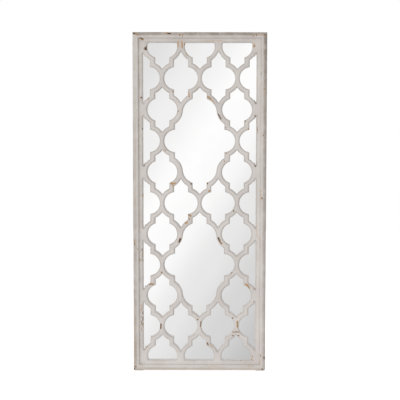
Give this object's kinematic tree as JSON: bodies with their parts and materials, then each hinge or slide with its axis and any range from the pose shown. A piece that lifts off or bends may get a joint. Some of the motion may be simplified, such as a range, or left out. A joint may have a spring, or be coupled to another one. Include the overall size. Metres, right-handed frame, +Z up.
{
  "type": "floor mirror",
  "caption": "Tall rectangular leaning floor mirror: distressed off-white moulded frame with a pierced trellis panel over the glass, hanger rings and bumpers on the back.",
  "frame": {"origin": "on the floor, under the middle of the overall box", "axes": "+Z up, -Y out of the mirror's face, +X to the right as seen from the front"},
  "size_m": [0.706, 0.044, 1.8],
  "materials": {
    "painted_frame": "distressed chalky off-white paint, worn to brown wood at edges",
    "painted_panel": "distressed chalky off-white paint, worn to brown at edges",
    "mirror": "silvered float glass",
    "hardboard": "smooth brown hardboard",
    "beech": "pressed beech, raw",
    "foam": "closed-cell foam, matt",
    "rubber": "matt black rubber",
    "felt": "dense dark felt",
    "screw_steel": "zinc plated",
    "zinc_steel": "zinc plated"
  },
  "bodies": {
    "mirror_frame": {"backing_board": "hardboard", "backing_screws": "screw_steel", "bottom_rail": "painted_frame", "corner_brace_bottom_left": "zinc_steel", "corner_brace_bottom_right": "zinc_steel", "corner_brace_screws": "screw_steel", "corner_brace_top_left": "zinc_steel", "corner_brace_top_right": "zinc_steel", "floor_pad_left": "felt", "floor_pad_right": "felt", "foam_strip_bottom": "foam", "foam_strip_left": "foam", "foam_strip_right": "foam", "foam_strip_top": "foam", "fretwork_panel": "painted_panel", "hanger_screws": "screw_steel", "hanger_strap_left": "zinc_steel", "hanger_strap_right": "zinc_steel", "left_stile": "painted_frame", "mirror_glass": "mirror", "mitre_biscuit_bottom_left": "beech", "mitre_biscuit_bottom_right": "beech", "mitre_biscuit_top_left": "beech", "mitre_biscuit_top_right": "beech", "right_stile": "painted_frame", "setting_block_left": "rubber", "setting_block_right": "rubber", "top_rail": "painted_frame", "wall_bumper_bottom_left": "rubber", "wall_bumper_bottom_right": "rubber", "wall_bumper_top_left": "rubber", "wall_bumper_top_right": "rubber"},
    "left_ring": {"hanger_ring_left": "zinc_steel"},
    "right_ring": {"hanger_ring_right": "zinc_steel"}
  },
  "joints": [
    {"name": "left_ring_swing", "type": "hinge", "parent": "mirror_frame", "child": "left_ring", "pos_m": [-0.3425, 0.019, 1.32075], "axis": [1, 0, 0], "range_deg": [0, 175]},
    {"name": "right_ring_swing", "type": "hinge", "parent": "mirror_frame", "child": "right_ring", "pos_m": [0.3425, 0.019, 1.32075], "axis": [1, 0, 0], "range_deg": [0, 175]}
  ]
}
